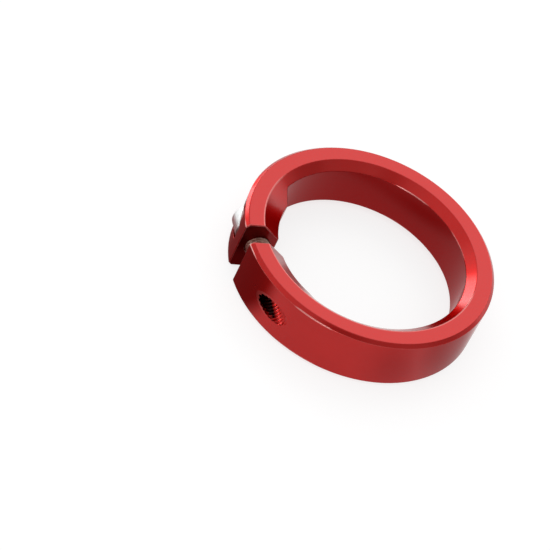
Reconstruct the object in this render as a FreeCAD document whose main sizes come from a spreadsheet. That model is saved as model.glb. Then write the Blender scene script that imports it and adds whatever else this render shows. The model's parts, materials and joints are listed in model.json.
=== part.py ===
import FreeCAD, Part
import enum
import math
import os
import Sketcher

# Grip lock ring: a split ring that clamps a grip's sleeve on a handlebar, with the screw that closes it.
# Frame: +Z along the ring's axis with Z zero on the face it lies on, split towards -X, screw along Y.

# Alias, size in millimetres or degrees, what it measures
DIMENSIONS = (
    ("bar_dia", 22.2, "handlebar that the lugs close on"),
    ("bar_gap", 0.1, "room between bar and lugs, on the radius"),
    ("lug_depth", 1.35, "how far the lugs reach in from the sleeve's seat"),
    ("lug_span", 13.9, "width over both lugs, across their faces to the bar"),
    ("lug_root_radius", 0.8, "inner corner between lug end and seat"),
    ("mouth_width", 1.1, "conical mouth between seat and flat face"),
    ("mouth_angle", 41.0, "slope of the mouth from the flat face"),
    ("rim_width", 2.35, "flat face and outer chamfer together"),
    ("rim_chamfer", 0.42, "chamfer on both outer edges"),
    ("edge_round", 0.15, "softened edges of flat faces, mouths and seat"),
    ("ring_height", 7.3, "height of the ring along its axis"),
    ("split_width", 2.6, "gap between the two ends"),
    ("end_break", 0.12, "broken edges round both ends at the split"),
    ("shank_dia", 3.0, "outer diameter of the screw's thread"),
    ("shank_length", 8.0, "screw length under the head"),
    ("shank_tip", 0.35, "chamfer at the screw's tip"),
    ("thread_gap", 0.05, "room round the screw in the tapped lug, on the radius"),
    ("plain_gap", 0.1, "room round the screw in the plain lug, on the radius"),
    ("screw_wall", 0.55, "metal between the plain hole and the lugs' faces to the bar"),
    ("seat_wall", 1.9, "metal between the split and the screw head's seat"),
    ("head_dia", 4.5, "screw head diameter"),
    ("head_height", 3.0, "screw head height"),
    ("head_gap", 0.25, "room round the head in its counterbore, on the radius"),
    ("head_edge", 0.3, "rounded top edge of the head"),
    ("socket_width", 2.5, "hexagon socket across flats"),
    ("socket_depth", 1.5, "depth of the hexagon socket"),
)

# Sizes that follow from the ones above
LUG_RADIUS = "(dims.bar_dia / 2 + dims.bar_gap)"
SEAT_RADIUS = f"({LUG_RADIUS} + dims.lug_depth)"
MOUTH_RADIUS = f"({SEAT_RADIUS} + dims.mouth_width)"
OUTER_RADIUS = f"({MOUTH_RADIUS} + dims.rim_width)"
FACE_RADIUS = f"({OUTER_RADIUS} - dims.rim_chamfer)"
MOUTH_DEPTH = f"(({MOUTH_RADIUS} - {LUG_RADIUS}) * tan(dims.mouth_angle))"
SEAT_DEPTH = "(dims.mouth_width * tan(dims.mouth_angle))"
LUG_END = f"sqrt({LUG_RADIUS} ^ 2 - (dims.lug_span / 2) ^ 2)"
HALF_SPLIT = "(dims.split_width / 2)"
PLAIN_HOLE = "(dims.shank_dia / 2 + dims.plain_gap)"
TAPPED_HOLE = "(dims.shank_dia / 2 + dims.thread_gap)"
COUNTERBORE = "(dims.head_dia / 2 + dims.head_gap)"
SCREW_OFFSET = f"({LUG_RADIUS} + dims.screw_wall + {PLAIN_HOLE})"
SCREW_HEIGHT = "(dims.ring_height / 2)"
HEAD_SEAT = f"({HALF_SPLIT} + dims.seat_wall)"

HEXAGON_SIDES = 6
MATCH = 1e-6

doc = FreeCAD.newDocument("grip_lock_ring")


class Spot(enum.IntEnum):
    """Points that a constraint can name on a piece of a sketch."""

    START = 1
    END = 2
    CENTRE = 3


class Axis(enum.IntEnum):
    """The sketch's own axes. The X axis starts at the origin."""

    X = -1
    Y = -2


ORIGIN = (Axis.X, Spot.START)


def dimension_sheet():
    """Writes the driving dimensions to a sheet, each under its own alias."""
    sheet = doc.addObject("Spreadsheet::Sheet", "dims")
    for row, (alias, size, meaning) in enumerate(DIMENSIONS, start=1):
        sheet.set(f"A{row}", alias)
        sheet.set(f"B{row}", str(size))
        sheet.set(f"C{row}", meaning)
        sheet.setAlias(f"B{row}", alias)
    doc.recompute()
    return sheet


sheet = dimension_sheet()


def size_of(expression):
    """Works out an expression in the sheet's sizes."""
    return float(sheet.evalExpression(expression))


def new_body(name):
    """Adds a body whose label names its file."""
    body = doc.addObject("PartDesign::Body", name)
    body.Label = name
    return body


def new_sketch(body, name, plane, height=None):
    """Adds a sketch on one of the body's origin planes, raised from it by an expression."""
    sketch = body.newObject("Sketcher::SketchObject", name)
    support = next(part for part in body.Origin.OriginFeatures if part.Role == plane)
    sketch.AttachmentSupport = [(support, "")]
    sketch.MapMode = "FlatFace"
    if height:
        sketch.setExpression("AttachmentOffset.Base.z", height)
    return sketch


def bind(sketch, constraint, expression):
    """Adds a constraint and ties its size to an expression."""
    index = sketch.addConstraint(constraint)
    sketch.setExpression(f"Constraints[{index}]", expression)


def pin(sketch, geometry, point, across, up):
    """Ties a sketch point to the sketch's origin by two expressions."""
    for kind, axis, expression in (("DistanceX", Axis.Y, across), ("DistanceY", Axis.X, up)):
        size = size_of(expression)
        if abs(size) < MATCH:
            sketch.addConstraint(Sketcher.Constraint("PointOnObject", geometry, point, axis))
        elif size > 0:
            bind(sketch, Sketcher.Constraint(kind, *ORIGIN, geometry, point, size), expression)
        else:
            bind(sketch, Sketcher.Constraint(kind, geometry, point, *ORIGIN, -size), f"-({expression})")


def outline(sketch, corners):
    """Draws a closed outline of straight lines through corners given as pairs of expressions."""
    points = [FreeCAD.Vector(size_of(across), size_of(up), 0) for across, up in corners]
    lines = []
    for index, point in enumerate(points):
        following = points[(index + 1) % len(points)]
        lines.append(sketch.addGeometry(Part.LineSegment(point, following)))
    for index, line in enumerate(lines):
        following = lines[(index + 1) % len(lines)]
        sketch.addConstraint(Sketcher.Constraint("Coincident", line, Spot.END, following, Spot.START))
    for line, (across, up) in zip(lines, corners):
        pin(sketch, line, Spot.START, across, up)


def feature(body, kind, name, sketch, **settings):
    """Adds a sketch-based feature and computes it."""
    made = body.newObject(kind, name)
    made.Profile = sketch
    for key, setting in settings.items():
        setattr(made, key, setting)
    doc.recompute()
    return made


def cut(body, kind, name, sketch, **settings):
    """Adds a cutting feature and makes sure that it takes metal away."""
    before = body.Shape.Volume
    made = feature(body, kind, name, sketch, **settings)
    if body.Shape.Volume > before - MATCH:
        raise RuntimeError(f"{name} cuts nothing")
    return made


def dress(body, kind, name, base, wanted, size_name, expression):
    """Rounds or chamfers the edges of a feature that a test picks out."""
    edges = [f"Edge{i}" for i, edge in enumerate(base.Shape.Edges, start=1) if wanted(edge)]
    if not edges:
        raise RuntimeError(f"{name} finds no edge")
    made = body.newObject(kind, name)
    made.Base = (base, edges)
    made.setExpression(size_name, expression)
    doc.recompute()
    return made


def is_circle(edge, radii, heights):
    """Tells whether an edge is a circle about the body's axis with one of some radii and heights."""
    curve = edge.Curve
    if not isinstance(curve, Part.Circle):
        return False
    on_axis = math.hypot(curve.Center.x, curve.Center.y) < MATCH
    right_size = any(abs(curve.Radius - radius) < MATCH for radius in radii)
    at_height = any(abs(curve.Center.z - height) < MATCH for height in heights)
    return on_axis and right_size and at_height


def is_end_edge(edge, half_split):
    """Tells whether an edge runs round one of the ring's two ends, the screw's holes apart."""
    if isinstance(edge.Curve, Part.Circle):
        return False
    middle = edge.valueAt((edge.FirstParameter + edge.LastParameter) / 2)
    places = [vertex.Point for vertex in edge.Vertexes] + [middle]
    return all(abs(abs(place.y) - half_split) < MATCH for place in places)


def ring_blank(body):
    """Turns the ring's section, with the bore at the lugs' radius all the way round."""
    sketch = new_sketch(body, "ring_section", "XZ_Plane")
    top = "dims.ring_height"
    outline(sketch, (
        (LUG_RADIUS, MOUTH_DEPTH),
        (MOUTH_RADIUS, "0"),
        (FACE_RADIUS, "0"),
        (OUTER_RADIUS, "dims.rim_chamfer"),
        (OUTER_RADIUS, f"{top} - dims.rim_chamfer"),
        (FACE_RADIUS, top),
        (MOUTH_RADIUS, top),
        (LUG_RADIUS, f"{top} - {MOUTH_DEPTH}"),
    ))
    blank = feature(body, "PartDesign::Revolution", "ring_blank", sketch, ReferenceAxis=(sketch, ["V_Axis"]))
    radii = (size_of(MOUTH_RADIUS), size_of(FACE_RADIUS))
    heights = (0.0, size_of(top))
    dress(
        body, "PartDesign::Fillet", "face_edges", blank,
        lambda edge: is_circle(edge, radii, heights), "Radius", "dims.edge_round",
    )


def sleeve_seat(body):
    """Mills the seat for the grip's sleeve: a round bore that stops at a flat in front of the lugs."""
    sketch = new_sketch(body, "seat_outline", "XY_Plane")
    seat = size_of(SEAT_RADIUS)
    flat = -size_of(LUG_END)
    root = size_of("dims.lug_root_radius")
    root_x = flat + root
    root_y = math.sqrt((seat - root) ** 2 - root_x ** 2)
    turn = math.atan2(root_y, root_x)
    axis = FreeCAD.Vector(0, 0, 1)
    centre = FreeCAD.Vector(0, 0, 0)
    upper = FreeCAD.Vector(root_x, root_y, 0)
    lower = FreeCAD.Vector(root_x, -root_y, 0)
    bore = sketch.addGeometry(Part.ArcOfCircle(Part.Circle(centre, axis, seat), -turn, turn))
    upper_root = sketch.addGeometry(Part.ArcOfCircle(Part.Circle(upper, axis, root), turn, math.pi))
    lower_root = sketch.addGeometry(Part.ArcOfCircle(Part.Circle(lower, axis, root), -math.pi, -turn))
    ends = (FreeCAD.Vector(flat, root_y, 0), FreeCAD.Vector(flat, -root_y, 0))
    face = sketch.addGeometry(Part.LineSegment(*ends))
    pin(sketch, bore, Spot.CENTRE, "0", "0")
    for first, second in ((bore, upper_root), (upper_root, face), (face, lower_root), (lower_root, bore)):
        sketch.addConstraint(Sketcher.Constraint("Tangent", first, Spot.END, second, Spot.START))
    sketch.addConstraint(Sketcher.Constraint("Vertical", face))
    sketch.addConstraint(Sketcher.Constraint("Equal", upper_root, lower_root))
    bind(sketch, Sketcher.Constraint("Radius", bore, seat), SEAT_RADIUS)
    bind(sketch, Sketcher.Constraint("Radius", upper_root, root), "dims.lug_root_radius")
    bind(sketch, Sketcher.Constraint("DistanceX", face, Spot.START, *ORIGIN, -flat), LUG_END)
    bored = cut(body, "PartDesign::Pocket", "sleeve_seat", sketch, Type="ThroughAll", Reversed=True)
    depth = size_of(SEAT_DEPTH)
    heights = (depth, size_of("dims.ring_height") - depth)
    dress(
        body, "PartDesign::Fillet", "seat_edges", bored,
        lambda edge: is_circle(edge, (seat,), heights), "Radius", "dims.edge_round",
    )


def screw_bore(body):
    """Cuts the stepped bore for the screw: tapped lug, plain lug and the head's open counterbore."""
    sketch = new_sketch(body, "screw_bore_section", "XY_Plane", SCREW_HEIGHT)
    axis = f"-{SCREW_OFFSET}"
    outline(sketch, (
        (axis, f"-{OUTER_RADIUS}"),
        (f"{axis} + {TAPPED_HOLE}", f"-{OUTER_RADIUS}"),
        (f"{axis} + {TAPPED_HOLE}", "0"),
        (f"{axis} + {PLAIN_HOLE}", "0"),
        (f"{axis} + {PLAIN_HOLE}", HEAD_SEAT),
        (f"{axis} + {COUNTERBORE}", HEAD_SEAT),
        (f"{axis} + {COUNTERBORE}", OUTER_RADIUS),
        (axis, OUTER_RADIUS),
    ))
    last_line = f"Edge{sketch.GeometryCount}"
    cut(body, "PartDesign::Groove", "screw_bore", sketch, ReferenceAxis=(sketch, [last_line]))


def split(body):
    """Saws the ring open between the lugs and breaks the edges of both ends."""
    sketch = new_sketch(body, "split_outline", "XY_Plane")
    outline(sketch, (
        (f"-{OUTER_RADIUS} - dims.rim_width", f"-{HALF_SPLIT}"),
        ("0", f"-{HALF_SPLIT}"),
        ("0", HALF_SPLIT),
        (f"-{OUTER_RADIUS} - dims.rim_width", HALF_SPLIT),
    ))
    gap = cut(body, "PartDesign::Pocket", "split", sketch, Type="ThroughAll", Reversed=True)
    half_split = size_of(HALF_SPLIT)
    dress(
        body, "PartDesign::Chamfer", "end_edges", gap,
        lambda edge: is_end_edge(edge, half_split), "Size", "dims.end_break",
    )


def clamp_ring():
    """Makes the ring."""
    body = new_body("clamp_ring")
    ring_blank(body)
    sleeve_seat(body)
    screw_bore(body)
    split(body)
    return body


def screw_blank(body):
    """Turns the screw about its own axis, head up, with the head's underside at height zero."""
    sketch = new_sketch(body, "screw_section", "XZ_Plane")
    shank = "dims.shank_dia / 2"
    head = "dims.head_dia / 2"
    outline(sketch, (
        ("0", "-dims.shank_length"),
        (f"{shank} - dims.shank_tip", "-dims.shank_length"),
        (shank, "-dims.shank_length + dims.shank_tip"),
        (shank, "0"),
        (head, "0"),
        (head, "dims.head_height"),
        ("0", "dims.head_height"),
    ))
    blank = feature(body, "PartDesign::Revolution", "screw_blank", sketch, ReferenceAxis=(sketch, ["V_Axis"]))
    radii = (size_of(head),)
    heights = (size_of("dims.head_height"),)
    dress(
        body, "PartDesign::Fillet", "head_edge", blank,
        lambda edge: is_circle(edge, radii, heights), "Radius", "dims.head_edge",
    )


def hexagon_socket(body):
    """Presses the hexagon socket into the head."""
    sketch = new_sketch(body, "socket_outline", "XY_Plane", "dims.head_height")
    corner = f"(dims.socket_width / 2 / cos(180 / {HEXAGON_SIDES}))"
    turns = [f"360 / {HEXAGON_SIDES} * {index}" for index in range(HEXAGON_SIDES)]
    outline(sketch, [(f"{corner} * cos({turn})", f"{corner} * sin({turn})") for turn in turns])
    socket = cut(body, "PartDesign::Pocket", "hexagon_socket", sketch)
    socket.setExpression("Length", "dims.socket_depth")


def clamp_screw():
    """Makes the screw and lays it across the split, head on its seat."""
    body = new_body("clamp_screw")
    screw_blank(body)
    hexagon_socket(body)
    body.Placement.Rotation = FreeCAD.Rotation(FreeCAD.Vector(0, 0, 1), FreeCAD.Vector(0, 1, 0))
    body.setExpression("Placement.Base.x", f"-{SCREW_OFFSET}")
    body.setExpression("Placement.Base.y", HEAD_SEAT)
    body.setExpression("Placement.Base.z", SCREW_HEIGHT)
    return body


def write(bodies):
    """Checks every object of the document, then writes each piece to its own file."""
    doc.recompute()
    for made in doc.Objects:
        if {"Invalid", "Error"} & set(made.State):
            raise RuntimeError(f"{made.Name} failed: {made.State}")
    for body in bodies:
        if body.Shape.isNull() or not body.Shape.isValid():
            raise RuntimeError(f"{body.Label} has no valid shape")
    os.makedirs("parts", exist_ok=True)
    for body in bodies:
        body.Shape.exportStep(f"parts/{body.Label}.step")


write((clamp_ring(), clamp_screw()))
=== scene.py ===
"""Dresses a split grip lock ring and its clamping screw: red anodised aluminium and bright plated steel."""

import json
import logging
import math
from dataclasses import dataclass
from enum import Enum
from typing import Callable, Sequence

import bmesh
import bpy
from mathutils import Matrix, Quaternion, Vector


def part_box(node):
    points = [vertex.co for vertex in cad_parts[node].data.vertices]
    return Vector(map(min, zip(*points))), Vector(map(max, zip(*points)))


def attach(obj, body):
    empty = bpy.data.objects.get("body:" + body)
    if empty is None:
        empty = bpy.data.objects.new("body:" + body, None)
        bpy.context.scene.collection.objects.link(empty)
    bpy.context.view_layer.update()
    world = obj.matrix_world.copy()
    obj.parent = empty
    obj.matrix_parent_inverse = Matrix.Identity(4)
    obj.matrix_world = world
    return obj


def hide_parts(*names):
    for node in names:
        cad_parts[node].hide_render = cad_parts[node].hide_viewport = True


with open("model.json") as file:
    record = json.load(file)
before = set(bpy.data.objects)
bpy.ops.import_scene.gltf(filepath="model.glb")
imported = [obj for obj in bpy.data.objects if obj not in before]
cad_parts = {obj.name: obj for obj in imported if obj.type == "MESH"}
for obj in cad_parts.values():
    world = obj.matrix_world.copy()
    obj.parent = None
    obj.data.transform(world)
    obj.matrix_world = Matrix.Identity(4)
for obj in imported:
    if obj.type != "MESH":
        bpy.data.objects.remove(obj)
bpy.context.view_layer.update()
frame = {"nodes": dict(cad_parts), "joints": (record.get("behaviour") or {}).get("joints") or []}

LOG = logging.getLogger("grip_lock_ring")
MM = 0.001
FULL_TURN = 2.0 * math.pi
SHARP_ANGLE = math.radians(32.0)
NOISE_SPAN = (0.3, 0.7)
HOLE_RADIUS = 1.55 * MM

Point = tuple[float, float, float]
Colour = tuple[float, float, float]
Span = tuple[float, float]


class Node(str, Enum):
    """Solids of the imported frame."""

    RING = "clamp_ring"
    SCREW = "clamp_screw"


class Body(str, Enum):
    """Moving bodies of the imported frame."""

    RING = "ring"
    SCREW = "screw"


class Slot(str, Enum):
    """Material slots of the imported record."""

    RING = "ring_anodised"
    SCREW = "screw_steel"


def direction(azimuth_deg: float, elevation_deg: float) -> Vector:
    """Gives a direction from the ring, measured round +Z from +X and up from the floor.

    Args:
        azimuth_deg: Angle round the ring's axis.
        elevation_deg: Angle above the floor.

    Returns:
        The unit vector.
    """
    azimuth = math.radians(azimuth_deg)
    elevation = math.radians(elevation_deg)
    level = math.cos(elevation)
    return Vector((level * math.cos(azimuth), level * math.sin(azimuth), math.sin(elevation)))


class Shading:
    """Node tree that is being filled, with short calls for its nodes and links."""

    def __init__(self, tree: bpy.types.NodeTree) -> None:
        """Empties the tree.

        Args:
            tree: Node tree of a material or a world.
        """
        self.tree = tree
        tree.nodes.clear()

    def node(self, kind: str, **settings: object) -> bpy.types.Node:
        """Adds a node.

        Args:
            kind: Blender's name for the node, without its ShaderNode prefix.
            **settings: Properties of the node.

        Returns:
            The node.
        """
        made = self.tree.nodes.new(f"ShaderNode{kind}")
        for name, setting in settings.items():
            setattr(made, name, setting)
        return made

    def feed(self, socket: bpy.types.NodeSocket, source: object) -> None:
        """Links a socket to another socket, or sets it to a value.

        Args:
            socket: Input to fill.
            source: Output socket, number, colour or vector.
        """
        if isinstance(source, bpy.types.NodeSocket):
            self.tree.links.new(source, socket)
        else:
            socket.default_value = source

    def math(self, operation: str, *inputs: object, clamp: bool = False) -> bpy.types.NodeSocket:
        """Adds a sum of one to three inputs.

        Args:
            operation: Blender's name for the sum.
            *inputs: Sockets or numbers.
            clamp: Keeps the result between zero and one.

        Returns:
            The result's socket.
        """
        made = self.node("Math", operation=operation, use_clamp=clamp)
        for socket, source in zip(made.inputs, inputs):
            self.feed(socket, source)
        return made.outputs[0]

    def ramp(
        self, value: object, low: float, high: float, start: float = 0.0, end: float = 1.0,
    ) -> bpy.types.NodeSocket:
        """Eases a value smoothly from one range to another.

        Args:
            value: Socket to read.
            low: Value that gives start.
            high: Value that gives end.
            start: Result at and below low.
            end: Result at and above high.

        Returns:
            The result's socket.
        """
        made = self.node("MapRange", interpolation_type="SMOOTHSTEP")
        names = ("Value", "From Min", "From Max", "To Min", "To Max")
        for name, source in zip(names, (value, low, high, start, end)):
            self.feed(made.inputs[name], source)
        return made.outputs[0]

    def parts(self, vector: bpy.types.NodeSocket) -> tuple[bpy.types.NodeSocket, ...]:
        """Splits a vector.

        Args:
            vector: Socket to read.

        Returns:
            Sockets of its three parts.
        """
        made = self.node("SeparateXYZ")
        self.feed(made.inputs[0], vector)
        return tuple(made.outputs)

    def distance(self, first: tuple[object, float], second: tuple[object, float]) -> bpy.types.NodeSocket:
        """Measures how far a place lies from another one, in two directions.

        Args:
            first: Socket of the place and number of the other one, in the first direction.
            second: The same in the second direction.

        Returns:
            Socket of the distance.
        """
        squares = [self.math("POWER", self.math("SUBTRACT", *pair), 2.0) for pair in (first, second)]
        return self.math("SQRT", self.math("ADD", *squares))

    def noise(
        self, place: object, scale: float, detail: float = 2.0, roughness: float = 0.5,
    ) -> bpy.types.NodeSocket:
        """Adds a noise between zero and one.

        Args:
            place: Socket of the coordinates.
            scale: Grains for each unit of the coordinates.
            detail: Finer octaves.
            roughness: Share of the finer octaves.

        Returns:
            The noise's socket.
        """
        made = self.node("TexNoise", noise_dimensions="3D")
        self.feed(made.inputs["Vector"], place)
        made.inputs["Scale"].default_value = scale
        made.inputs["Detail"].default_value = detail
        made.inputs["Roughness"].default_value = roughness
        return made.outputs["Fac"]

    def blend(self, share: object, first: object, second: object) -> bpy.types.NodeSocket:
        """Mixes two colours.

        Args:
            share: How much of the second one shows.
            first: Colour or socket.
            second: Colour or socket.

        Returns:
            The mixed colour's socket.
        """
        made = self.node("Mix", data_type="RGBA")
        self.feed(made.inputs["Factor"], share)
        colours = [socket for socket in made.inputs if socket.type == "RGBA"]
        for socket, source in zip(colours, (first, second)):
            self.feed(socket, source if isinstance(source, bpy.types.NodeSocket) else (*source, 1.0))
        return next(socket for socket in made.outputs if socket.type == "RGBA")

    def bump(self, height: object, depth: float, normal: object) -> bpy.types.NodeSocket:
        """Adds fine relief to a surface.

        Args:
            height: Socket between zero and one.
            depth: Height of the relief, in metres.
            normal: Socket of the normal below the relief.

        Returns:
            The new normal's socket.
        """
        made = self.node("Bump")
        made.inputs["Strength"].default_value = 1.0
        made.inputs["Distance"].default_value = depth
        self.feed(made.inputs["Height"], height)
        self.feed(made.inputs["Normal"], normal)
        return made.outputs["Normal"]

    def roughen(self, surface: bpy.types.Node, grain: object, middle: float, swing: float) -> None:
        """Lets a surface's roughness follow its grain.

        Args:
            surface: The surface's shader.
            grain: Socket of the grain's noise.
            middle: Roughness about which it swings.
            swing: Whole width of the swing.
        """
        rough = self.ramp(grain, *NOISE_SPAN, middle - swing / 2, middle + swing / 2)
        self.feed(surface.inputs["Roughness"], rough)

    def end(self, kind: str, shader: bpy.types.Node) -> None:
        """Ends the tree in its output.

        Args:
            kind: Blender's name for the output, without its ShaderNode prefix.
            shader: Node that gives the finished shader.
        """
        self.feed(self.node(kind).inputs["Surface"], shader.outputs[0])


def new_material(name: str) -> tuple[bpy.types.Material, Shading]:
    """Makes an empty node material.

    Args:
        name: Its name.

    Returns:
        The material and its node tree.
    """
    material = bpy.data.materials.new(name)
    material.use_nodes = True
    return material, Shading(material.node_tree)


class RingPlace:
    """Sockets that tell the ring's finish where a point of the surface lies."""

    def __init__(self, shading: Shading, hole: Vector, wall: float, height: float) -> None:
        """Adds the nodes that measure the point.

        Args:
            shading: The finish's tree.
            hole: Point on the tapped hole's axis, at the screw's tip.
            wall: Outer radius of the ring.
            height: Height of the ring.
        """
        coordinates = shading.node("TexCoord").outputs
        self.shading = shading
        self.half = height / 2
        self.tip = hole.y
        self.point = coordinates["Object"]
        self.x, self.y, self.z = shading.parts(self.point)
        self.slope = shading.math("ABSOLUTE", shading.parts(coordinates["Normal"])[-1])
        self.level = shading.math("ABSOLUTE", shading.math("SUBTRACT", self.z, self.half))
        self.radius = shading.distance((self.x, 0.0), (self.y, 0.0))
        self.under = shading.math("SUBTRACT", wall, self.radius)
        self.from_hole = shading.distance((self.x, hole.x), (self.z, hole.z))
        self.outward = shading.math("SUBTRACT", hole.x, self.x)

    def towards(self, angle_deg: float) -> bpy.types.NodeSocket:
        """Measures how far the point lies out from the ring's axis in one direction.

        Args:
            angle_deg: The direction's angle round the axis.

        Returns:
            Socket of the distance.
        """
        side = math.radians(angle_deg)
        across = self.shading.math("MULTIPLY", self.x, math.cos(side))
        along = self.shading.math("MULTIPLY", self.y, math.sin(side))
        return self.shading.math("ADD", across, along)


@dataclass(frozen=True)
class GlintPlace:
    """Length of a round edge where a glint is painted in a pale colour."""

    angle_deg: float
    half_deg: float
    soft_deg: float
    share: float

    def reach(self, at: RingPlace, radius: float) -> bpy.types.NodeSocket:
        """Finds the length with the painted glint.

        Args:
            at: Where the point lies.
            radius: Radius of the edge.

        Returns:
            Socket of the painted glint's share, which is zero away from the length.
        """
        outside = radius * math.cos(math.radians(self.half_deg + self.soft_deg))
        inside = radius * math.cos(math.radians(self.half_deg - self.soft_deg))
        return at.shading.ramp(at.towards(self.angle_deg), outside, inside, 0.0, self.share)


@dataclass(frozen=True)
class GlintEdge:
    """Round edge at some depth below each flat face, with painted glints in places."""

    radius: float
    depth: float
    width: float
    places: tuple[GlintPlace, ...]

    def mask(self, at: RingPlace) -> bpy.types.NodeSocket:
        """Finds the painted glints along the edge, which fade from a third of their width outwards.

        Args:
            at: Where the point lies.

        Returns:
            Socket of the painted glints' share, which is zero away from the edge.
        """
        shading = at.shading
        away = shading.distance((at.radius, self.radius), (at.level, at.half - self.depth))
        line = shading.ramp(away, self.width, self.width / 3)
        pale_edges: object = 0.0
        for place in self.places:
            pale_edges = shading.math("MAXIMUM", pale_edges, place.reach(at, self.radius))
        return shading.math("MULTIPLY", line, pale_edges)


@dataclass(frozen=True)
class AnodisedFinish:
    """Turned aluminium under a dyed oxide film: satin metal with a clear gloss on top and paler edges,
    partly worn and partly painted glints, with painted shade and a painted highlight tint in places.
    """

    colour: Colour = (0.43, 0.006, 0.004)
    deep_colour: Colour = (0.40, 0.005, 0.003)
    # Paler tint on the flat faces: a painted highlight, for the pale cast of the lit top face.
    face_highlight_tint: Colour = (0.445, 0.027, 0.025)
    # Pale colour of the edges: worn in places, and painted glints where the edges catch light.
    edge_wear_glint_colour: Colour = (0.72, 0.33, 0.31)
    # Deeper red on the seat: painted shade of the ring's inside.
    bore_shade_colour: Colour = (0.25, 0.002, 0.002)
    # Near-black red on the split's faces: painted shade.
    split_shade_colour: Colour = (0.19, 0.002, 0.002)
    # Near black deep in the tapped hole: painted shade.
    hole_shade_colour: Colour = (0.03, 0.001, 0.001)
    rim_tint: Colour = (0.78, 0.22, 0.22)
    roughness: float = 0.32
    roughness_swing: float = 0.06
    film_weight: float = 0.95
    bore_film: float = 0.5
    film_index: float = 1.33
    film_roughness: float = 0.11
    face_slope: Span = (0.9, 0.98)
    upright_slope: Span = (0.5, 0.2)
    bore_radius: float = 12.55 * MM
    bore_fade: float = 0.1 * MM
    split_half: float = 1.3 * MM
    split_fade: float = 0.05 * MM
    tapped_radius: float = 1.8 * MM
    hole_radius: float = HOLE_RADIUS
    # Side, depth and fade of the painted shade in the tapped hole.
    hole_shade_side: float = 0.6 * MM
    hole_shade_start: float = 0.4 * MM
    hole_shade_fade: float = 0.2 * MM
    # Width and share of the painted glint on the tapped hole's outer rim.
    burr_glint_width: float = 0.2 * MM
    burr_share: float = 0.28
    edge_round: float = 0.13 * MM
    edge_samples: int = 8
    edge_turn: Span = (0.995, 0.94)
    edge_share: float = 0.25
    end_share: float = 0.7
    end_reach: float = 0.25 * MM
    # Side where the edges catch light. Their paleness there is a painted glint.
    lit_edge_side_deg: float = -150.0
    lit_edge_reach: float = 8.0 * MM
    lit_edge_least: float = 0.025
    nick_size: float = 0.7 * MM
    nick_share: float = 0.55
    nick_span: Span = (0.64, 0.72)
    uneven_span: Span = (0.35, 0.55)
    # Painted glints along the mouth edge, the seat's edge and the outer chamfer's lower edge.
    painted_glint_edges: tuple[GlintEdge, ...] = (
        GlintEdge(13.65 * MM, 0.0, 0.16 * MM, (GlintPlace(-128.0, 97.0, 6.0, 0.4),)),
        GlintEdge(12.55 * MM, 0.956 * MM, 0.12 * MM, (
            GlintPlace(50.0, 8.75, 2.7, 0.6), GlintPlace(8.0, 8.75, 2.7, 0.35),
        )),
        GlintEdge(16.0 * MM, 0.42 * MM, 0.15 * MM, (
            GlintPlace(-178.0, 10.0, 3.0, 1.0), GlintPlace(-129.5, 9.0, 1.5, 0.6),
        )),
    )
    turning_pitch: float = 0.11 * MM
    turning_depth: float = 0.0006 * MM
    grain_size: float = 0.035 * MM
    grain_depth: float = 0.0007 * MM
    cloud_size: float = 5.0 * MM

    def material(self, hole: Vector, wall: float, height: float) -> bpy.types.Material:
        """Makes the material in the ring's own coordinates.

        Args:
            hole: Point on the tapped hole's axis, at the screw's tip.
            wall: Outer radius of the ring.
            height: Height of the ring.

        Returns:
            The material.
        """
        material, shading = new_material(Slot.RING.value)
        at = RingPlace(shading, hole, wall, height)
        tapped = self.tapped_mask(at)
        bore = self.bore_mask(at)
        split = self.split_mask(at, self.split_fade)
        hole_shade = self.hole_shade_mask(at, tapped)
        grain = shading.noise(at.point, 1.0 / self.grain_size)
        clouds = shading.noise(at.point, 1.0 / self.cloud_size, detail=3.0)
        rounded = shading.node("Bevel", samples=self.edge_samples)
        shading.feed(rounded.inputs["Radius"], shading.ramp(tapped, 0.0, 1.0, self.edge_round, 0.0))
        turned = shading.bump(self.turning(at), self.turning_depth, rounded.outputs[0])
        dye = shading.blend(shading.ramp(clouds, *NOISE_SPAN), self.colour, self.deep_colour)
        for share, colour in (
            # Flat faces: painted highlight tint.
            (shading.ramp(at.slope, *self.face_slope), self.face_highlight_tint),
            # Seat: painted shade.
            (bore, self.bore_shade_colour),
            # Split faces: painted shade.
            (split, self.split_shade_colour),
            # Deep side of the tapped hole: painted shade.
            (hole_shade, self.hole_shade_colour),
            # Pale edges: wear, and painted glints.
            (self.pale_edges(at, rounded.outputs[0]), self.edge_wear_glint_colour),
        ):
            dye = shading.blend(share, dye, colour)
        surface = shading.node("BsdfPrincipled")
        shading.feed(surface.inputs["Base Color"], dye)
        shading.roughen(surface, grain, self.roughness, self.roughness_swing)
        surface.inputs["Metallic"].default_value = 1.0
        surface.inputs["Specular Tint"].default_value = (*self.rim_tint, 1.0)
        inside = shading.math("MAXIMUM", shading.math("MAXIMUM", bore, split), hole_shade)
        film = shading.ramp(inside, 0.0, 1.0, self.film_weight, self.bore_film)
        shading.feed(surface.inputs["Coat Weight"], film)
        surface.inputs["Coat IOR"].default_value = self.film_index
        surface.inputs["Coat Roughness"].default_value = self.film_roughness
        shading.feed(surface.inputs["Normal"], shading.bump(grain, self.grain_depth, turned))
        shading.feed(surface.inputs["Coat Normal"], turned)
        shading.end("OutputMaterial", surface)
        return material

    def turning(self, at: RingPlace) -> bpy.types.NodeSocket:
        """Makes the fine rings that the lathe left.

        Args:
            at: Where the point lies.

        Returns:
            Socket of the rings' noise.
        """
        shading = at.shading
        angle = shading.math("ARCTAN2", at.y, at.x)
        lathe = shading.node("CombineXYZ")
        for socket, source in zip(
            lathe.inputs, (at.radius, at.z, shading.math("MULTIPLY", angle, self.turning_pitch)),
        ):
            shading.feed(socket, source)
        return shading.noise(lathe.outputs[0], 1.0 / self.turning_pitch, detail=3.0, roughness=0.6)

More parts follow.
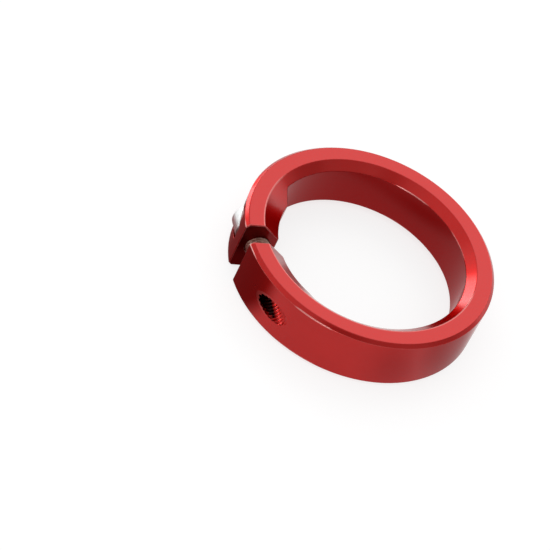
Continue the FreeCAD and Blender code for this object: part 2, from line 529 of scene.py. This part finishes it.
    def tapped_mask(self, at: RingPlace) -> bpy.types.NodeSocket:
        """Finds the tapped hole's thread, whose edges stay sharp.

        Args:
            at: Where the point lies.

        Returns:
            A socket that is one in the hole and zero elsewhere.
        """
        near = at.shading.ramp(at.from_hole, self.tapped_radius + self.bore_fade, self.tapped_radius)
        before = at.shading.ramp(at.y, at.tip, at.tip - self.bore_fade)
        return at.shading.math("MULTIPLY", near, before)

    def hole_shade_mask(self, at: RingPlace, tapped: bpy.types.NodeSocket) -> bpy.types.NodeSocket:
        """Finds the low, deep side of the tapped hole, where shade is painted dark.

        Args:
            at: Where the point lies.
            tapped: Socket of the hole's mask.

        Returns:
            A socket that is one in the painted shade and zero away from it.
        """
        shading = at.shading
        side = shading.ramp(at.outward, -self.hole_shade_side - self.hole_shade_fade, -self.hole_shade_side)
        deep = shading.ramp(at.under, self.hole_shade_start, self.hole_shade_start + self.hole_shade_fade)
        return shading.math("MULTIPLY", tapped, shading.math("MULTIPLY", side, deep))

    def bore_mask(self, at: RingPlace) -> bpy.types.NodeSocket:
        """Finds the bored seat, where shade is painted as a deeper red.

        Args:
            at: Where the point lies.

        Returns:
            A socket that is one on the seat and zero elsewhere.
        """
        inside = at.shading.ramp(at.radius, self.bore_radius + self.bore_fade, self.bore_radius)
        upright = at.shading.ramp(at.slope, *self.upright_slope)
        return at.shading.math("MULTIPLY", inside, upright)

    def split_mask(self, at: RingPlace, reach: float) -> bpy.types.NodeSocket:
        """Finds the sawn faces of the split and what lies close to them.

        Args:
            at: Where the point lies.
            reach: Distance from the faces at which the mask ends.

        Returns:
            A socket that is one on the split's faces and zero away from them.
        """
        shading = at.shading
        beside = shading.math("ABSOLUTE", at.y)
        near = shading.ramp(beside, self.split_half + reach, self.split_half + reach / 2)
        return shading.math("MULTIPLY", near, shading.math("LESS_THAN", at.x, 0.0))

    def pale_edges(self, at: RingPlace, rounded: bpy.types.NodeSocket) -> bpy.types.NodeSocket:
        """Finds the pale edges: worn nicks and ends, and painted glints where the edges catch light.

        Args:
            at: Where the point lies.
            rounded: Socket of the rounded normal.

        Returns:
            Socket of the pale share, which is partly wear and partly painted glint.
        """
        shading = at.shading
        pale_edges = shading.math("MULTIPLY", self.edge_mask(shading, rounded), self.lit_and_worn_edges(at))
        pale_edges = shading.math("MAXIMUM", pale_edges, self.burr(at))
        for edge in self.painted_glint_edges:
            pale_edges = shading.math("MAXIMUM", pale_edges, edge.mask(at))
        return pale_edges

    def edge_mask(self, shading: Shading, rounded: bpy.types.NodeSocket) -> bpy.types.NodeSocket:
        """Finds the edges, where the rounded normal leaves the flat one.

        Args:
            shading: Tree to add to.
            rounded: Socket of the rounded normal.

        Returns:
            A socket that is one along an edge and zero away from it.
        """
        flat = shading.node("NewGeometry").outputs["Normal"]
        same = shading.node("VectorMath", operation="DOT_PRODUCT")
        shading.feed(same.inputs[0], flat)
        shading.feed(same.inputs[1], rounded)
        return shading.ramp(same.outputs["Value"], *self.edge_turn)

    def lit_and_worn_edges(self, at: RingPlace) -> bpy.types.NodeSocket:
        """Makes the pale edges uneven: partly wear, partly painted glints.

        They are strongest at the split's ends, weaker on the side where the edges catch light and the
        paleness is a painted glint, and elsewhere there are only worn nicks.

        Args:
            at: Where the point lies.

        Returns:
            Socket of the share of the wear and the painted glint.
        """
        shading = at.shading
        side = at.towards(self.lit_edge_side_deg)
        # Painted glint: the edges grow paler towards the side where they catch light.
        lit_side = shading.ramp(side, 0.0, self.lit_edge_reach, self.lit_edge_least, self.edge_share)
        ends = shading.math("MULTIPLY", self.split_mask(at, self.end_reach), self.end_share)
        speckle = shading.noise(at.point, 1.0 / self.nick_size)
        uneven = shading.ramp(speckle, *self.uneven_span, self.nick_share, 1.0)
        lit_and_worn = shading.math("MULTIPLY", shading.math("MAXIMUM", lit_side, ends), uneven)
        return shading.math("MAXIMUM", lit_and_worn, shading.ramp(speckle, *self.nick_span, 0.0, self.edge_share))

    def burr(self, at: RingPlace) -> bpy.types.NodeSocket:
        """Finds the rim round the outer side of the tapped hole, where a glint is painted pale on the burr.

        Args:
            at: Where the point lies.

        Returns:
            A socket that rises on the painted glint and is zero away from it.
        """
        shading = at.shading
        start = self.hole_radius - self.burr_glint_width / 2
        # Painted glint on the outer side of the hole's rim.
        rim = shading.ramp(at.from_hole, self.hole_radius, start, 0.0, self.burr_share)
        beside = shading.ramp(at.outward, 0.0, self.hole_radius)
        shallow = shading.ramp(at.under, self.burr_glint_width, self.burr_glint_width / 2)
        return shading.math("MULTIPLY", rim, shading.math("MULTIPLY", beside, shallow))


@dataclass(frozen=True)
class PlatedFinish:
    """Bright plated steel with faint drawing marks."""

    colour: Colour = (0.86, 0.87, 0.87)
    worn_colour: Colour = (0.72, 0.73, 0.73)
    # Darker brownish colour of the thread: a painted reflection of the red ring round it.
    shank_reflection_colour: Colour = (0.50, 0.34, 0.28)
    # Dark colour in the corner by the head's seat: painted shade.
    corner_shade_colour: Colour = (0.20, 0.18, 0.17)
    roughness: float = 0.4
    roughness_swing: float = 0.14
    grain_size: float = 0.05 * MM
    grain_depth: float = 0.001 * MM
    cloud_size: float = 1.2 * MM
    cloud_span: Span = (0.35, 0.75)
    edge_round: float = 0.03 * MM
    edge_samples: int = 6
    corner_shade_reach: float = 0.7 * MM

    def material(self, seat: float) -> bpy.types.Material:
        """Makes the material in the screw's own coordinates.

        Args:
            seat: Place of the head's seat on the screw's axis. Shade is painted dark in the corner there,
            and the thread below it gets a darker brownish colour, a painted reflection of the red ring.

        Returns:
            The material.
        """
        material, shading = new_material(Slot.SCREW.value)
        place = shading.node("TexCoord").outputs["Object"]
        along = shading.parts(place)[1]
        grain = shading.noise(place, 1.0 / self.grain_size, detail=3.0, roughness=0.6)
        clouds = shading.noise(place, 1.0 / self.cloud_size)
        rounded = shading.node("Bevel", samples=self.edge_samples)
        rounded.inputs["Radius"].default_value = self.edge_round
        # Painted shade: the head darkens towards its seat.
        corner = shading.ramp(along, seat + self.corner_shade_reach, seat + self.corner_shade_reach / 2)
        below = shading.ramp(along, seat, seat - self.grain_size)
        tone = shading.blend(shading.ramp(clouds, *self.cloud_span), self.colour, self.worn_colour)
        tone = shading.blend(corner, tone, self.corner_shade_colour)
        # Thread below the seat: painted reflection of the ring.
        tone = shading.blend(below, tone, self.shank_reflection_colour)
        surface = shading.node("BsdfPrincipled")
        shading.feed(surface.inputs["Base Color"], tone)
        shading.roughen(surface, grain, self.roughness, self.roughness_swing)
        surface.inputs["Metallic"].default_value = 1.0
        relief = shading.bump(grain, self.grain_depth, rounded.outputs[0])
        shading.feed(surface.inputs["Normal"], relief)
        shading.end("OutputMaterial", surface)
        return material


@dataclass(frozen=True)
class ShadePatch:
    """Round patch of painted shade and painted reflection on the paper near the ring, which only the
    metal's reflections show.
    """

    x: float
    y: float
    radius: float
    soft: float
    depth: float

    def shade(self, shading: Shading, place: bpy.types.NodeSocket) -> bpy.types.NodeSocket:
        """Adds the painted patch to the paper.

        Args:
            shading: The paper's tree.
            place: Socket of the place on the paper.

        Returns:
            Socket of how far the card hides the paper.
        """
        away = shading.node("VectorMath", operation="DISTANCE")
        shading.feed(away.inputs[0], place)
        away.inputs[1].default_value = (self.x, self.y, 0.0)
        outside, inside = self.radius + self.soft, self.radius - self.soft
        return shading.ramp(away.outputs["Value"], outside, inside, 0.0, self.depth)


@dataclass(frozen=True)
class PaperFinish:
    """White studio paper that shows the object's shadow."""

    colour: Colour = (0.26, 0.26, 0.26)
    glow: float = 0.78
    # Dark red patches in the paper, seen only by the metal: painted shade and painted reflection.
    shade_patch_colour: Colour = (0.20, 0.004, 0.004)
    shade_patches: tuple[ShadePatch, ...] = (
        ShadePatch(-20.0 * MM, 1.8 * MM, 9.3 * MM, 2.0 * MM, 0.92),
        ShadePatch(-15.0 * MM, 9.5 * MM, 4.0 * MM, 1.5 * MM, 0.92),
        ShadePatch(14.0 * MM, -14.0 * MM, 7.0 * MM, 4.5 * MM, 0.5),
        ShadePatch(4.6 * MM, 5.1 * MM, 1.4 * MM, 1.3 * MM, 0.85),
        ShadePatch(-5.2 * MM, 3.3 * MM, 3.4 * MM, 1.8 * MM, 0.85),
        ShadePatch(3.5 * MM, -20.0 * MM, 4.5 * MM, 4.0 * MM, 0.3),
    )

    def material(self) -> bpy.types.Material:
        """Makes the material, with a glow that lifts the paper to white where it is seen or mirrored.

        Returns:
            The material.
        """
        material, shading = new_material("studio_paper")
        paper = shading.node("BsdfDiffuse")
        paper.inputs["Color"].default_value = (*self.colour, 1.0)
        path = shading.node("LightPath").outputs
        seen = shading.math("ADD", path["Is Camera Ray"], path["Is Glossy Ray"])
        seen = shading.math("ADD", seen, path["Is Transmission Ray"], clamp=True)
        lift = shading.node("Emission")
        shading.feed(lift.inputs["Strength"], shading.math("MULTIPLY", seen, self.glow))
        both = shading.node("AddShader")
        shading.feed(both.inputs[0], paper.outputs[0])
        shading.feed(both.inputs[1], lift.outputs[0])
        # Painted shade and reflection: glossy rays see dark red patches instead of the white paper.
        shade_patch = shading.node("Emission")
        shade_patch.inputs["Color"].default_value = (*self.shade_patch_colour, 1.0)
        reflected_shade = shading.math("MULTIPLY", path["Is Glossy Ray"], self.shade_patch_share(shading))
        with_shade_patches = shading.node("MixShader")
        for socket, source in zip(with_shade_patches.inputs, (reflected_shade, both.outputs[0], shade_patch.outputs[0])):
            shading.feed(socket, source)
        shading.end("OutputMaterial", with_shade_patches)
        return material

    def shade_patch_share(self, shading: Shading) -> bpy.types.NodeSocket:
        """Lays the painted patches of shade and reflection round the ring.

        Args:
            shading: The paper's tree.

        Returns:
            Socket of how far the painted patches cover the paper in the metal's reflections.
        """
        place = shading.node("NewGeometry").outputs["Position"]
        shade: object = 0.0
        for shade_patch in self.shade_patches:
            shade = shading.math("MAXIMUM", shade, shade_patch.shade(shading, place))
        return shade


def shown_mesh(name: str, work: bmesh.types.BMesh, material: bpy.types.Material) -> bpy.types.Object:
    """Turns worked geometry into a shown object with outward faces.

    Args:
        name: Name of the piece.
        work: Geometry, which is freed.
        material: Its finish.

    Returns:
        The object, linked to the scene.
    """
    bmesh.ops.recalc_face_normals(work, faces=work.faces)
    mesh = bpy.data.meshes.new(name)
    work.to_mesh(mesh)
    work.free()
    mesh.materials.append(material)
    piece = bpy.data.objects.new(name, mesh)
    bpy.context.scene.collection.objects.link(piece)
    return piece


def smooth(piece: bpy.types.Object) -> None:
    """Shades a piece smoothly, except across its sharp edges."""
    piece.data.shade_smooth()
    piece.data.set_sharp_from_angle(angle=SHARP_ANGLE)


def round_axis(axis: Vector, along: float, angle: float, reach: float) -> Point:
    """Gives a point round an axis that runs along Y.

    Args:
        axis: Point on the axis.
        along: Place on the axis.
        angle: Angle round the axis.
        reach: Distance from the axis.

    Returns:
        The point.
    """
    return axis.x + reach * math.cos(angle), along, axis.z - reach * math.sin(angle)


def skin(work: bmesh.types.BMesh, rings: Sequence[Sequence[Point]], closed: bool) -> None:
    """Covers a row of equal rings of points with faces.

    Args:
        work: Geometry to add to.
        rings: Rings of points, in order.
        closed: Joins the last ring to the first; otherwise both ends get a flat cap.
    """
    rows = [[work.verts.new(point) for point in ring] for ring in rings]
    pairs = list(zip(rows, rows[1:]))
    if closed:
        pairs.append((rows[-1], rows[0]))
    for lower, upper in pairs:
        for index in range(len(lower)):
            following = (index + 1) % len(lower)
            work.faces.new((lower[index], lower[following], upper[following], upper[index]))
    if not closed:
        work.faces.new(rows[0])
        work.faces.new(rows[-1])


@dataclass(frozen=True)
class MetricThread:
    """Sixty degree thread of an M3 screw."""

    pitch: float = 0.5 * MM
    radius: float = 1.5 * MM
    depth_share: float = 0.613
    crest_share: float = 0.125
    root_share: float = 0.25
    steps_round: int = 96
    steps_per_pitch: int = 12

    @property
    def depth(self) -> float:
        """Height of the ridge above its root."""
        return self.depth_share * self.pitch

    @property
    def step(self) -> float:
        """Distance between two rings of points along the axis."""
        return self.pitch / self.steps_per_pitch

    @property
    def angles(self) -> list[float]:
        """Angles of the points of one ring round the axis."""
        return [FULL_TURN * index / self.steps_round for index in range(self.steps_round)]

    def rise(self, along: float, angle: float) -> float:
        """Gives the height of the right-hand ridge.

        Args:
            along: Place on the screw's axis, in metres.
            angle: Angle round the axis, in radians.

        Returns:
            Share of the full ridge, from zero at its root to one at its crest.
        """
        phase = (along / self.pitch + angle / FULL_TURN) % 1.0
        flank = (1.0 - self.crest_share - self.root_share) / 2
        from_crest = abs(phase - 0.5) - self.crest_share / 2
        return 1.0 - min(max(from_crest / flank, 0.0), 1.0)


@dataclass
class ClampScrew:
    """Socket head screw across the split, with its thread."""

    finish: PlatedFinish
    thread: MetricThread
    tip_chamfer: float = 0.35 * MM
    plain_neck: float = 0.6 * MM
    head_round: float = 0.3 * MM
    round_steps: int = 6
    seat_chamfer: float = 0.12 * MM
    socket_width: float = 2.5 * MM
    socket_depth: float = 1.5 * MM
    socket_chamfer: float = 0.12 * MM
    socket_point: float = 0.35 * MM
    sides: int = 6

    def __post_init__(self) -> None:
        """Reads the screw's place and main sizes from the frame."""
        low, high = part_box(Node.SCREW.value)
        seat = next(joint for joint in frame["joints"] if joint["child"] == Body.SCREW.value)["pos_m"]
        self.axis = Vector(((low.x + high.x) / 2, 0.0, (low.z + high.z) / 2))
        self.tip = low.y
        self.seat = seat[1]
        self.top = high.y
        self.head_radius = (high.x - low.x) / 2

    def ring(self, along: float, radius: Callable[[float], float]) -> list[Point]:
        """Gives one ring of points round the screw's axis.

        Args:
            along: Place on the axis.
            radius: Radius at an angle.

        Returns:
            The points.
        """
        return [round_axis(self.axis, along, angle, radius(angle)) for angle in self.thread.angles]

    def shank(self) -> list[list[Point]]:
        """Gives the threaded shank's rings.

        Returns:
            Rings of points from its tip to its head.
        """
        step = self.thread.step
        count = round((self.seat - self.tip) / step)
        rings = []
        for index in range(count + 1):
            along = self.tip + index * step
            from_tip = along - self.tip
            from_head = self.seat - along
            outer = self.thread.radius - max(self.tip_chamfer - from_tip, 0.0)
            faded = min(max((from_head - self.plain_neck) / self.thread.pitch, 0.0), 1.0)
            rings.append(self.ring(along, self.flank(along, outer, faded)))
        return rings

    def flank(self, along: float, outer: float, faded: float) -> Callable[[float], float]:
        """Gives the shank's radius round one ring.

        Args:
            along: Place on the axis.
            outer: Radius that the ridge may not pass.
            faded: Share of the thread's depth that is cut here.

        Returns:
            Radius at an angle.
        """
        depth = self.thread.depth * faded

        def radius(angle: float) -> float:
            """Gives the radius at an angle."""
            ridge = self.thread.radius - depth * (1.0 - self.thread.rise(along, angle))
            return min(ridge, outer)

        return radius

    def hexagon(self, width: float) -> Callable[[float], float]:
        """Gives the radius of a hexagon round the axis.

        Args:
            width: Width across flats.

        Returns:
            Radius at an angle.
        """
        side = FULL_TURN / self.sides

        def radius(angle: float) -> float:
            """Gives the radius at an angle."""
            return width / 2 / math.cos((angle % side) - side / 2)

        return radius

    def head(self) -> list[list[Point]]:
        """Gives the head's rings.

        Returns:
            Rings of points from its underside up its side and down into its socket.
        """
        rings = [self.ring(self.seat, lambda angle: self.head_radius - self.seat_chamfer)]
        rings.append(self.ring(self.seat + self.seat_chamfer, lambda angle: self.head_radius))
        for index in range(self.round_steps + 1):
            turn = math.pi / 2 * index / self.round_steps
            reach = self.head_radius - self.head_round * (1.0 - math.cos(turn))
            along = self.top - self.head_round * (1.0 - math.sin(turn))
            rings.append(self.ring(along, lambda angle, reach=reach: reach))
        corner = self.socket_width / 2 / math.cos(math.pi / self.sides)
        rings.append(self.ring(self.top, lambda angle: corner + self.socket_chamfer / 2))
        rings.append(self.ring(self.top - self.socket_chamfer, self.hexagon(self.socket_width)))
        rings.append(self.ring(self.top - self.socket_depth, self.hexagon(self.socket_width)))
        tip = self.socket_point
        rings.append(self.ring(self.top - self.socket_depth - tip, lambda angle: tip / 2))
        return rings

    def build(self) -> bpy.types.Object:
        """Makes the screw, puts it in the solid's stead and lets it turn with its body.

        Returns:
            The screw.
        """
        work = bmesh.new()
        skin(work, self.shank() + self.head(), closed=False)
        piece = shown_mesh("cap_screw", work, self.finish.material(self.seat))
        smooth(piece)
        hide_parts(Node.SCREW.value)
        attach(piece, Body.SCREW.value)
        LOG.info("cap_screw: %d faces", len(piece.data.polygons))
        return piece


@dataclass
class ClampRing:
    """Split ring with the thread in its tapped lug."""

    finish: AnodisedFinish
    thread: MetricThread
    screw: ClampScrew
    tip_room: float = 0.35 * MM
    hole_radius: float = HOLE_RADIUS
    sunk: float = 0.04 * MM
    root_radius: float = 1.46 * MM
    crest_radius: float = 1.23 * MM
    burr_depth: float = 0.25 * MM
    burr_share: float = 0.6
    below_wall: float = 0.001 * MM
    settling_steps: int = 4

    def __post_init__(self) -> None:
        """Reads the ring's outer radius and height from the frame."""
        low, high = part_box(Node.RING.value)
        self.outer_radius = (high.y - low.y) / 2
        self.height = high.z - low.z

    def exit(self, angle: float, radius: float) -> float:
        """Gives where a line along the hole leaves the ring's outer wall.

        Args:
            angle: Angle round the hole's axis.
            radius: Distance from the hole's axis.

        Returns:
            Place on the hole's axis.
        """
        across = self.screw.axis.x + radius * math.cos(angle)
        wall = self.outer_radius - self.below_wall
        return -math.sqrt(wall ** 2 - across ** 2)

    def ridge(self, along: float, angle: float, reach: float) -> float:
        """Gives the thread's inner radius, which closes up in a burr under the outer wall.

        Args:
            along: Place on the hole's axis.
            angle: Angle round the hole's axis.
            reach: Radius found so far.

        Returns:
            The radius.
        """
        across = self.screw.axis.x + reach * math.cos(angle)
        depth = self.outer_radius - math.hypot(across, along)
        burr = self.burr_share * min(max(1.0 - depth / self.burr_depth, 0.0), 1.0)
        rise = self.thread.rise(along, angle)
        return self.root_radius - (self.root_radius - self.crest_radius) * max(rise, burr)

    def thread_ring(self, along: float, inner: bool) -> list[Point]:
        """Gives one ring of points of the thread's sleeve, cut off at the outer wall.

        Args:
            along: Place on the hole's axis.
            inner: Follows the ridges; otherwise the sleeve's back in the metal.

        Returns:
            The points.
        """
        points = []
        for angle in self.thread.angles:
            reach = self.hole_radius + self.sunk
            place = max(along, self.exit(angle, reach))
            for _ in range(self.settling_steps if inner else 0):
                reach = self.ridge(place, angle, reach)
                place = max(along, self.exit(angle, reach))
            points.append(round_axis(self.screw.axis, place, angle, reach))
        return points

    def build_thread(self, material: bpy.types.Material) -> bpy.types.Object:
        """Makes the thread's ridges between the screw's tip and the outer wall.

        Args:
            material: The ring's finish.

        Returns:
            The thread.
        """
        start = self.screw.tip - self.tip_room
        deepest = self.exit(0.0, self.hole_radius + self.sunk)
        step = self.thread.step
        count = math.ceil((start - deepest) / step)
        places = [start - index * step for index in range(count + 1)]
        inner = [self.thread_ring(along, True) for along in places]
        outer = [self.thread_ring(along, False) for along in reversed(places)]
        work = bmesh.new()
        skin(work, inner + outer, closed=True)
        bmesh.ops.remove_doubles(work, verts=work.verts, dist=self.below_wall / 4)
        piece = shown_mesh("lug_thread", work, material)
        smooth(piece)
        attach(piece, Body.RING.value)
        LOG.info("lug_thread: %d faces", len(piece.data.polygons))
        return piece

    def build(self) -> bpy.types.Object:
        """Gives the ring its finish and adds its thread.

        Returns:
            The ring.
        """
        hole = Vector((self.screw.axis.x, self.screw.tip, self.screw.axis.z))
        material = self.finish.material(hole, self.outer_radius, self.height)
        ring = frame["nodes"][Node.RING.value]
        ring.data.materials.clear()
        ring.data.materials.append(material)
        LOG.info("%s: %d faces", ring.name, len(ring.data.polygons))
        self.build_thread(material)
        return ring


@dataclass(frozen=True)
class Viewpoint:
    """Camera, placed by angles round the ring and by shares of its outer radius."""

    azimuth_deg: float = -120.79
    elevation_deg: float = 43.83
    roll_deg: float = 26.85
    distance: float = 21.694
    ring_right: float = 0.656
    ring_up: float = 0.0918
    lens_mm: float = 187.31
    sensor_mm: float = 36.0

    def build(self) -> bpy.types.Object:
        """Makes the scene's camera.

        Returns:
            The camera.
        """
        low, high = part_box(Node.RING.value)
        radius = (high.y - low.y) / 2
        centre = Vector((0.0, 0.0, (low.z + high.z) / 2))
        back = direction(self.azimuth_deg, self.elevation_deg)
        level = (-back).to_track_quat("-Z", "Y")
        turned = level @ Quaternion((0.0, 0.0, 1.0), math.radians(self.roll_deg))
        offset = Vector((-self.ring_right, -self.ring_up, self.distance)) * radius
        data = bpy.data.cameras.new("camera")
        data.lens = self.lens_mm
        data.sensor_width = self.sensor_mm
        data.clip_start = radius
        camera = bpy.data.objects.new("camera", data)
        camera.rotation_mode = "QUATERNION"
        camera.rotation_quaternion = turned
        camera.location = centre + turned @ offset
        bpy.context.scene.collection.objects.link(camera)
        bpy.context.scene.camera = camera
        return camera


@dataclass(frozen=True)
class Panel:
    """Soft panel of the studio, far away in one direction. One with a strength below zero is dark."""

    azimuth_deg: float
    elevation_deg: float
    half_angle_deg: float
    soft_deg: float
    strength: float

    def glow(self, shading: Shading, place: bpy.types.NodeSocket) -> bpy.types.NodeSocket:
        """Adds the panel's light to the world.

        Args:
            shading: The world's tree.
            place: Socket of the direction.

        Returns:
            Socket of its strength in that direction.
        """
        towards = shading.node("VectorMath", operation="DOT_PRODUCT")
        shading.feed(towards.inputs[0], place)
        towards.inputs[1].default_value = direction(self.azimuth_deg, self.elevation_deg)
        inside = math.cos(math.radians(max(self.half_angle_deg - self.soft_deg, 0.0)))
        outside = math.cos(math.radians(self.half_angle_deg + self.soft_deg))
        return shading.ramp(towards.outputs["Value"], outside, inside, 0.0, self.strength)


@dataclass(frozen=True)
class Studio:
    """White paper floor under a dim room with soft panels."""

    paper: PaperFinish
    room: float = 0.9
    floor_width: float = 4.0
    panels: tuple[Panel, ...] = (
        Panel(57.0, 40.0, 26.0, 8.0, 1.05),
        Panel(107.0, 6.5, 14.0, 5.5, 5.8),
        Panel(128.0, 24.0, 14.0, 8.0, 0.8),
        Panel(178.0, 53.0, 28.0, 14.0, 0.45),
        Panel(12.0, 9.0, 9.0, 4.0, 1.1),
        Panel(40.0, 16.0, 14.0, 6.0, 1.2),
        Panel(-124.0, 8.0, 9.0, 4.0, 6.0),
        Panel(158.0, 3.0, 8.0, 4.0, 4.0),
        Panel(-108.0, 43.0, 14.0, 6.0, -0.48),
        Panel(-72.0, 36.0, 9.0, 6.0, -0.15),
        Panel(-20.0, 29.0, 11.0, 7.0, -0.32),
        Panel(-90.0, 64.0, 16.0, 8.0, 0.15),
    )

    def build(self) -> None:
        """Makes the floor and the world's light."""
        half = self.floor_width / 2
        work = bmesh.new()
        corners = [(-half, -half, 0.0), (half, -half, 0.0), (half, half, 0.0), (-half, half, 0.0)]
        work.faces.new([work.verts.new(corner) for corner in corners])
        floor = shown_mesh("floor", work, self.paper.material())
        world = bpy.data.worlds.new("studio")
        world.use_nodes = True
        bpy.context.scene.world = world
        shading = Shading(world.node_tree)
        place = shading.node("TexCoord").outputs["Generated"]
        light: object = self.room
        for panel in self.panels:
            light = shading.math("ADD", light, panel.glow(shading, place))
        sky = shading.node("Background")
        shading.feed(sky.inputs["Strength"], light)
        shading.end("OutputWorld", sky)
        bpy.context.scene.view_settings.view_transform = "Standard"


def main() -> None:
    """Builds the screw, the ring, the camera and the studio in order."""
    logging.basicConfig(level=logging.INFO, format="%(message)s")
    thread = MetricThread()
    screw = ClampScrew(PlatedFinish(), thread)
    screw.build()
    ClampRing(AnodisedFinish(), thread, screw).build()
    Viewpoint().build()
    Studio(PaperFinish()).build()


if __name__ == "__main__":
    main()
